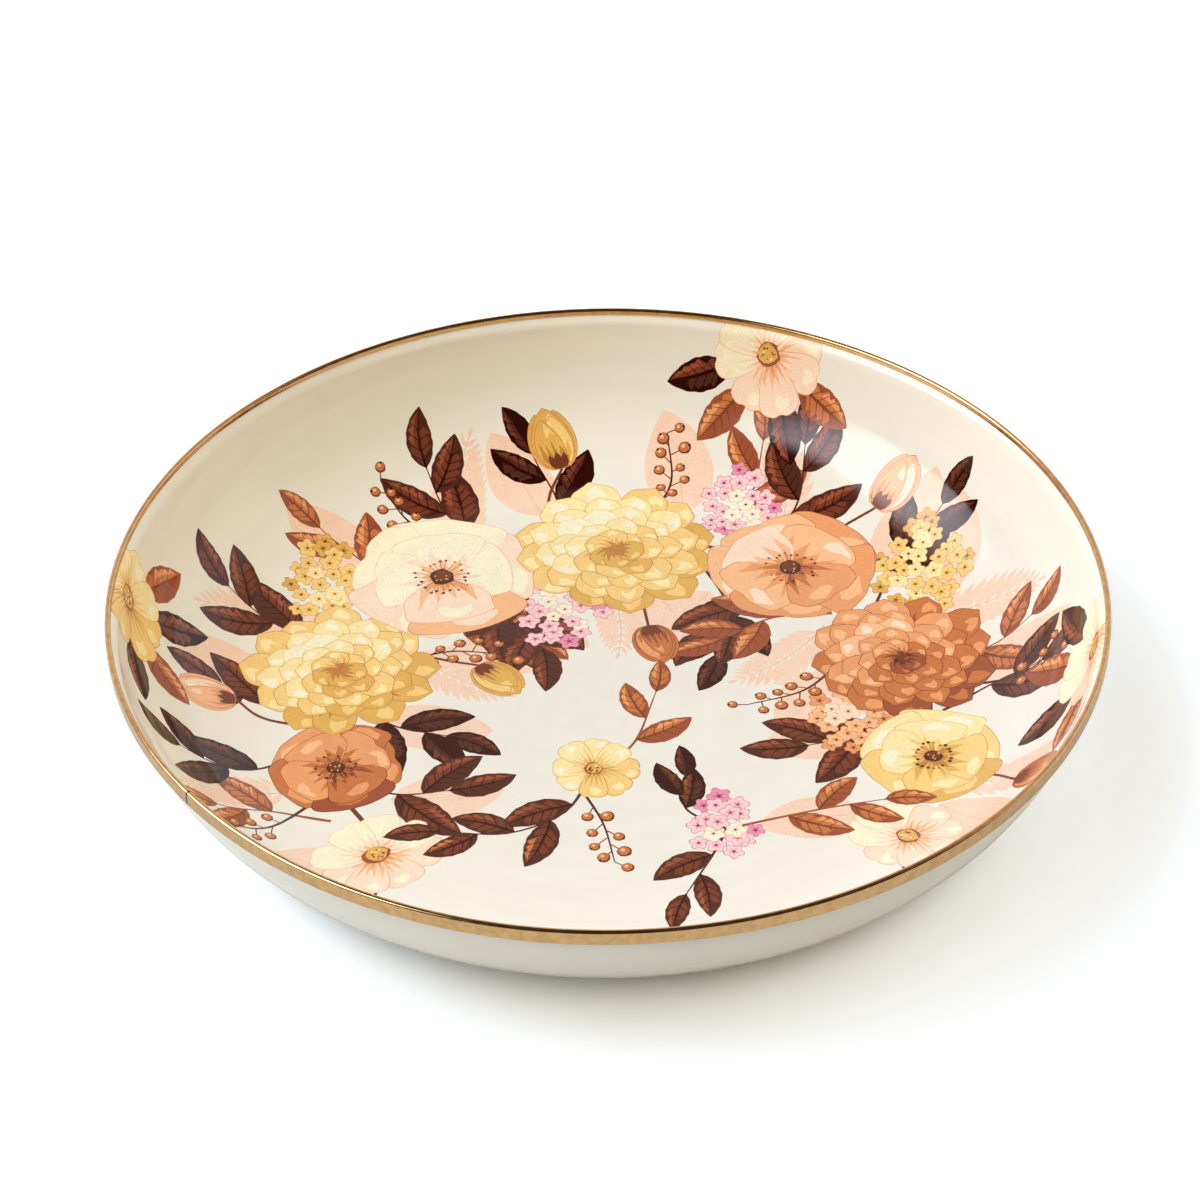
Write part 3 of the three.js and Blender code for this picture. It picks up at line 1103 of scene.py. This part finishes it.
def bronze_material():
    """Plated strip: a mottled tone, with fine rolling marks along it."""
    material, graph, shader = new_material("bronze")
    place = graph.coordinates["Object"]
    mottle = graph.ramp(graph.noise(place, 330, 3, 0.6), 0.35, 0.65)
    marks = graph.streaks(18.0, 2600.0, 2, 0.6)
    lightness = graph.math("MULTIPLY_ADD", marks, 0.4, graph.times(mottle, 0.7))
    colour = graph.blend(lightness, BRONZE_DEEP, BRONZE_LIGHT)
    # Painted shade darkens the bronze at the seam, over the cut ends' own dull tone
    graph.feed(shader.inputs["Base Color"], graph.blend(seam_dull_and_shaded(graph, place), colour, SEAM_COLOUR))
    shader.inputs["Metallic"].default_value = 1.0
    dull = graph.math("MULTIPLY_ADD", mottle, 0.05, graph.times(marks, 0.08))
    graph.feed(shader.inputs["Roughness"], graph.math("ADD", dull, 0.07))
    relief = graph.bump(marks, 0.0000015)
    graph.feed(shader.inputs["Normal"], graph.bump(graph.noise(place, 260, 2), 0.000004, relief))
    return material


# ---- studio

VIEW_PITCH = 0.669556  # the camera looks down by this angle
VIEW_ROLL = -0.00922035
VIEW_DISTANCE = 1.32465
VIEW_TARGET = Vector((-0.003057, -0.010056, 0.0614))
VIEW_LENS = 100
VIEW_SENSOR = 36

# The softbox at the left. Its brightness is that of its face.
SOFTBOX_PLACE = Vector((-1.2, 0.0, 1.15))
SOFTBOX_TARGET = Vector((0, 0, 0.05))
SOFTBOX_SIZE = (0.7, 0.9)
SOFTBOX_BRIGHTNESS = 3.0

# What lights the room: its side, its heights, as sines of the elevation with soft ends, and its light
LOW = (-1.0, 0.34)
MIDDLE = (0.34, 0.64)
HIGH = (0.64, 0.866)
SOFT_END = 0.06
GLOWS = (
    ("-X", HIGH, (3.65, 4.0, 4.6)),  # a large window on either side
    ("+X", HIGH, (4.05, 4.15, 4.2)),
    ("+Y", LOW, (3.3, 3.4, 3.65)),  # the white sweep behind the bowl
    ("-X", LOW, (2.5, 2.7, 2.7)),
    ("-Y", HIGH, (1.5, 1.05, 0.35)),  # warm light from the room in front
    ("+X", MIDDLE, (0.6, 0.4, 0.0)),
)

# What the gloss mirrors. A pair is where along an axis a part of the room begins and is full.
SWEEP = (1.0, 1.0, 1.0)  # behind the bowl, up to here
SWEEP_TOP = (0.66, 0.50)
WARM_WALL = (0.75, 0.47, 0.34)  # above the sweep, up to here
WARM_TOP = (0.86, 0.78)
CEILING = (0.03, 0.028, 0.026)
BACK_HALF = (-0.25, 0.15)  # where those three are
FRONT = (0.05, 0.04, 0.03)
SKIRTING = (0.06, 0.04, 0.03)  # a dark strip at the left
SKIRTING_SIDE = (-0.75, -0.92)
SKIRTING_TOP = (0.44, 0.34)

# The hot middle of the left window: its direction, and where it begins and is full, as cosines of
# the angle from there and as heights of its sill and its top
WINDOW_AT = (-0.74, -0.09, 0.67)
WINDOW_SPREAD = (0.82, 0.998)
WINDOW_SILL = (0.33, 0.36)
WINDOW_TOP = (0.86, 0.74)
WINDOW_GLARE = (7.0, 6.9, 7.5)

BACKGROUND = (0.97, 0.97, 0.98)
FLOOR_HALF = 12  # metres from its middle to its sides
FLOOR_GAP = 0.05 * MM  # keeps the floor clear of the base, which would lie in the same plane
FLOOR_COLOUR = (0.80, 0.795, 0.78)
FLOOR_EXPOSED = (1.165, 1.225, 1.34)  # the picture over-exposes the floor, but not the bowl


def camera():
    data = bpy.data.cameras.new("camera")
    data.lens = VIEW_LENS
    data.sensor_width = VIEW_SENSOR
    obj = new_object("camera", data)
    forward = Vector((0, math.cos(VIEW_PITCH), -math.sin(VIEW_PITCH)))
    level = Vector((1, 0, 0))
    above = level.cross(forward)
    right = math.cos(VIEW_ROLL) * level + math.sin(VIEW_ROLL) * above
    up = math.cos(VIEW_ROLL) * above - math.sin(VIEW_ROLL) * level
    facing = Matrix((right, up, -forward)).transposed()
    obj.matrix_world = Matrix.Translation(VIEW_TARGET - VIEW_DISTANCE * forward) @ facing.to_4x4()
    bpy.context.scene.camera = obj


def softbox():
    data = bpy.data.lights.new("softbox", "AREA")
    data.shape = "RECTANGLE"
    data.size, data.size_y = SOFTBOX_SIZE
    data.energy = SOFTBOX_BRIGHTNESS * math.pi * math.prod(SOFTBOX_SIZE)
    obj = new_object("softbox", data)
    obj.location = SOFTBOX_PLACE
    obj.rotation_euler = (SOFTBOX_TARGET - SOFTBOX_PLACE).to_track_quat("-Z", "Y").to_euler()
    obj.visible_camera = False
    obj.visible_glossy = False


def sky_glow(graph, axes):
    square = graph.math("ADD", graph.math("POWER", axes["X"], 2.0), graph.math("POWER", axes["Y"], 2.0))
    square = graph.math("MAXIMUM", square, 0.0001)
    total = None
    for side, (bottom, top), colour in GLOWS:
        towards = graph.times(axes[side[1]], -1.0 if side[0] == "-" else 1.0)
        towards = graph.math("POWER", graph.math("MAXIMUM", towards, 0.0), 2.0)
        above = graph.ramp(axes["Z"], bottom - SOFT_END, bottom + SOFT_END)
        below = graph.ramp(axes["Z"], top + SOFT_END, top - SOFT_END)
        share = graph.math("DIVIDE", towards, square)
        share = graph.times(share, graph.times(above, below))
        glow = graph.blend(share, (0.0, 0.0, 0.0), colour)
        total = graph.vector("ADD", total, glow) if total else glow
    return total


def mirrored_room(graph, place, axes):
    """The room as the gloss mirrors it: bright only at the back and in the left window."""
    back = graph.blend(graph.ramp(axes["Z"], *WARM_TOP), CEILING, WARM_WALL)
    back = graph.blend(graph.ramp(axes["Z"], *SWEEP_TOP), back, SWEEP)
    room = graph.blend(graph.ramp(axes["Y"], *BACK_HALF), FRONT, back)
    side = graph.ramp(axes["X"], *SKIRTING_SIDE)
    skirting = graph.times(side, graph.ramp(axes["Z"], *SKIRTING_TOP))
    room = graph.blend(skirting, room, SKIRTING)
    glare = graph.ramp(graph.vector("DOT_PRODUCT", place, WINDOW_AT), *WINDOW_SPREAD)
    edges = graph.times(graph.ramp(axes["Z"], *WINDOW_SILL), graph.ramp(axes["Z"], *WINDOW_TOP))
    return graph.blend(graph.times(glare, edges), room, WINDOW_GLARE)


def studio_world():
    """The room as light, as a reflection and as the background, each for its own kind of ray."""
    world = bpy.data.worlds.new("studio")
    bpy.context.scene.world = world
    graph = Graph(world)
    place = graph.coordinates["Generated"]
    axes = graph.split(place)
    ray = graph.node("LightPath", {})
    colour = graph.blend(ray["Is Glossy Ray"], sky_glow(graph, axes), mirrored_room(graph, place, axes))
    colour = graph.blend(ray["Is Camera Ray"], colour, BACKGROUND)
    graph.feed(graph.nodes["Background"].inputs["Color"], colour)


def floor():
    mesh = bpy.data.meshes.new("floor")
    signs = ((-1, -1), (1, -1), (1, 1), (-1, 1))
    mesh.from_pydata([(x * FLOOR_HALF, y * FLOOR_HALF, -FLOOR_GAP) for x, y in signs], [], [(0, 1, 2, 3)])
    material, graph, shader = new_material("floor")
    graph.nodes.remove(shader)
    shown = graph.blend(graph.node("LightPath", {})["Is Camera Ray"], FLOOR_COLOUR, FLOOR_EXPOSED)
    matt = graph.node("BsdfDiffuse", {"Color": shown})[0]
    graph.feed(graph.nodes["Material Output"].inputs["Surface"], matt)
    mesh.materials.append(material)
    new_object("floor", mesh)


camera()
studio_world()
softbox()
floor()
bpy.context.scene.view_settings.view_transform = "Standard"
bpy.context.scene.view_settings.look = "None"

bowl_piece = bowl()
bowl_piece.data.materials.append(enamel_material())
band_piece = rim_band()
band_piece.data.materials.append(bronze_material())
for piece, node, slot in ((bowl_piece, "enamelled_bowl", "enamel"), (band_piece, "rim_band", "bronze")):
    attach(piece, "root")
    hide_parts(node)

bpy.context.view_layer.update()
